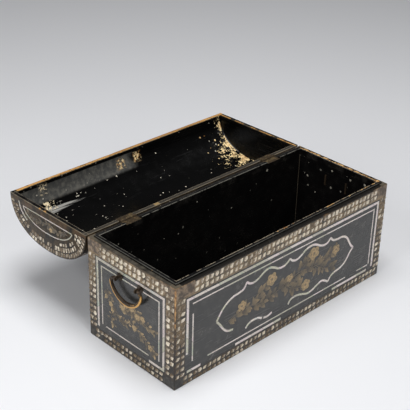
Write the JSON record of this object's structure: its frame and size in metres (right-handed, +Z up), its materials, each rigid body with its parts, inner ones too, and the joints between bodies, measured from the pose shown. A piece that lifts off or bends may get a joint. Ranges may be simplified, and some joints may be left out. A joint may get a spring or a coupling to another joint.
{
  "type": "domed coffer",
  "caption": "Long wooden coffer with a hinged half-round lid lying open behind it, black lacquer walls edged with pearl inlay, and a drop handle on each end.",
  "frame": {"origin": "on the floor, under the middle of the box; the open lid behind it isn't counted", "axes": "+X along the box's length towards its right end, +Y from its front to its hinged back, +Z up"},
  "size_m": [0.4516, 0.3536, 0.1608],
  "materials": {
    "lacquered_wood": "black lacquer on softwood, glossy, worn at the edges",
    "bare_wood": "bare, hidden under the lacquer",
    "mother_of_pearl": "polished shell, faintly iridescent",
    "handle_metal": "dark patina, bright where it is worn",
    "hinge_metal": "dull brown patina"
  },
  "bodies": {
    "box": {"front_board": "lacquered_wood", "back_board": "lacquered_wood", "left_end_board": "lacquered_wood", "right_end_board": "lacquered_wood", "bottom_board": "lacquered_wood", "front_lip": "lacquered_wood", "back_lip": "lacquered_wood", "left_lip": "lacquered_wood", "right_lip": "lacquered_wood", "corner_pegs": "bare_wood", "bottom_pegs": "bare_wood", "front_pearl_strips": "mother_of_pearl", "back_pearl_strips": "mother_of_pearl", "left_end_pearl_strips": "mother_of_pearl", "right_end_pearl_strips": "mother_of_pearl", "left_hinge_box_leaf": "hinge_metal", "right_hinge_box_leaf": "hinge_metal", "left_hinge_pin": "hinge_metal", "right_hinge_pin": "hinge_metal", "box_hinge_nails": "hinge_metal", "left_handle_rosettes": "handle_metal", "right_handle_rosettes": "handle_metal", "left_handle_eyes": "handle_metal", "right_handle_eyes": "handle_metal"},
    "lid": {"lid_stave_1": "lacquered_wood", "lid_stave_2": "lacquered_wood", "lid_stave_3": "lacquered_wood", "lid_stave_4": "lacquered_wood", "lid_stave_5": "lacquered_wood", "lid_stave_6": "lacquered_wood", "lid_stave_7": "lacquered_wood", "lid_stave_8": "lacquered_wood", "lid_stave_9": "lacquered_wood", "lid_left_end_board": "lacquered_wood", "lid_right_end_board": "lacquered_wood", "lid_pegs": "bare_wood", "left_hinge_lid_leaf": "hinge_metal", "right_hinge_lid_leaf": "hinge_metal", "lid_hinge_nails": "hinge_metal"},
    "left_bail": {"left_bail": "handle_metal"},
    "right_bail": {"right_bail": "handle_metal"}
  },
  "joints": [
    {"name": "lid_hinge", "type": "hinge", "parent": "box", "child": "lid", "pos_m": [0, 0.0893, 0.158], "axis": [1, 0, 0], "range_deg": [0, 180.9]},
    {"name": "left_bail_swing", "type": "hinge", "parent": "box", "child": "left_bail", "pos_m": [-0.222, 0, 0.1265], "axis": [0, 1, 0], "range_deg": [-8, 188]},
    {"name": "right_bail_swing", "type": "hinge", "parent": "box", "child": "right_bail", "pos_m": [0.222, 0, 0.1265], "axis": [0, -1, 0], "range_deg": [-8, 188]}
  ]
}
